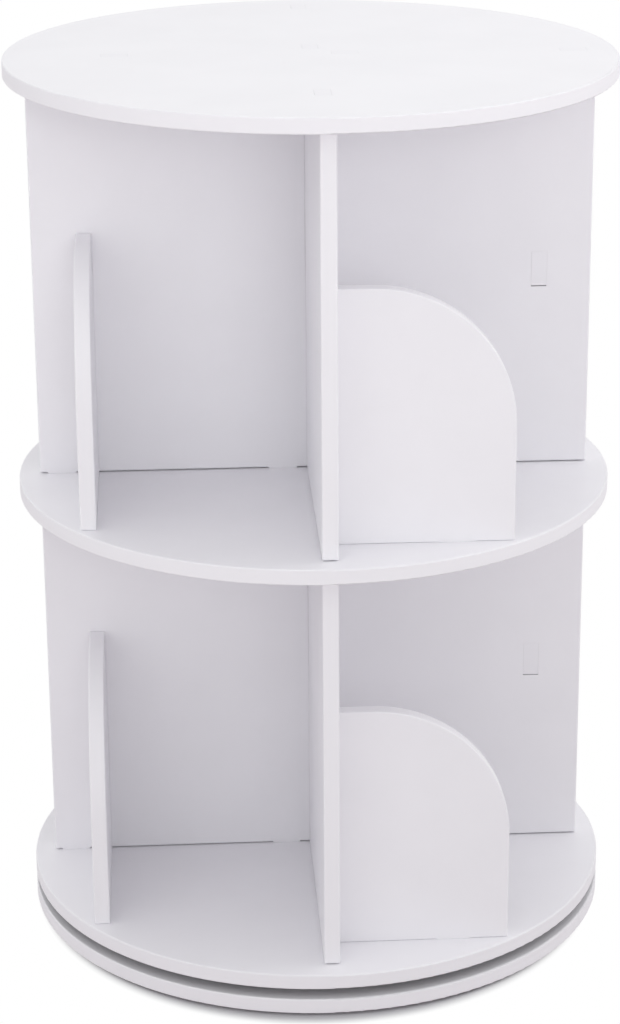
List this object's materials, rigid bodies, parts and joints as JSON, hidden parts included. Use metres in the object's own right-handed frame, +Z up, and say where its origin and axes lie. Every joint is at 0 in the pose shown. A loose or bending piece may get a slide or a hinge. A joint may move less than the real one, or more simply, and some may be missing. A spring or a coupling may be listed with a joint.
{
  "type": "revolving bookcase",
  "caption": "Two-tier round revolving bookcase: tabbed white boards form open bays with bookends, and the case turns on a flat ball race above a base board.",
  "frame": {"origin": "on the turning axis, at floor level, under the middle of the foot pads", "axes": "+Z up along the turning axis; -Y is the front, where the front arm of the dividers points at rest; +X is to the right"},
  "size_m": [0.46, 0.46, 0.6855],
  "materials": {
    "white_board": "satin white lacquered wood-fibre board",
    "race_aluminium": "turned, satin",
    "ball_steel": "polished bearing steel",
    "screw_steel": "zinc plated",
    "cage_plastic": "moulded nylon",
    "pad_rubber": "matt"
  },
  "bodies": {
    "base": {"base_board": "white_board", "foot_pads": "pad_rubber", "outer_race": "race_aluminium", "outer_race_screws": "screw_steel"},
    "ball_train": {"ball_cage": "cage_plastic", "bearing_balls": "ball_steel"},
    "case": {"inner_race": "race_aluminium", "inner_race_screws": "screw_steel", "bottom_shelf": "white_board", "middle_shelf": "white_board", "top_board": "white_board", "lower_divider_x": "white_board", "lower_divider_y": "white_board", "upper_divider_x": "white_board", "upper_divider_y": "white_board", "lower_bookend_front_right": "white_board", "lower_bookend_back_right": "white_board", "lower_bookend_back_left": "white_board", "lower_bookend_front_left": "white_board", "upper_bookend_front_right": "white_board", "upper_bookend_back_right": "white_board", "upper_bookend_back_left": "white_board", "upper_bookend_front_left": "white_board"}
  },
  "joints": [
    {"name": "case_spin", "type": "hinge", "parent": "base", "child": "case", "pos_m": [0, 0, 0.01825], "axis": [0, 0, 1], "continuous": true},
    {"name": "ball_train_spin", "type": "hinge", "parent": "base", "child": "ball_train", "pos_m": [0, 0, 0.01825], "axis": [0, 0, 1], "continuous": true}
  ],
  "couplings": [
    {"joint": "ball_train_spin", "follows": "case_spin", "ratio": 0.48996}
  ]
}
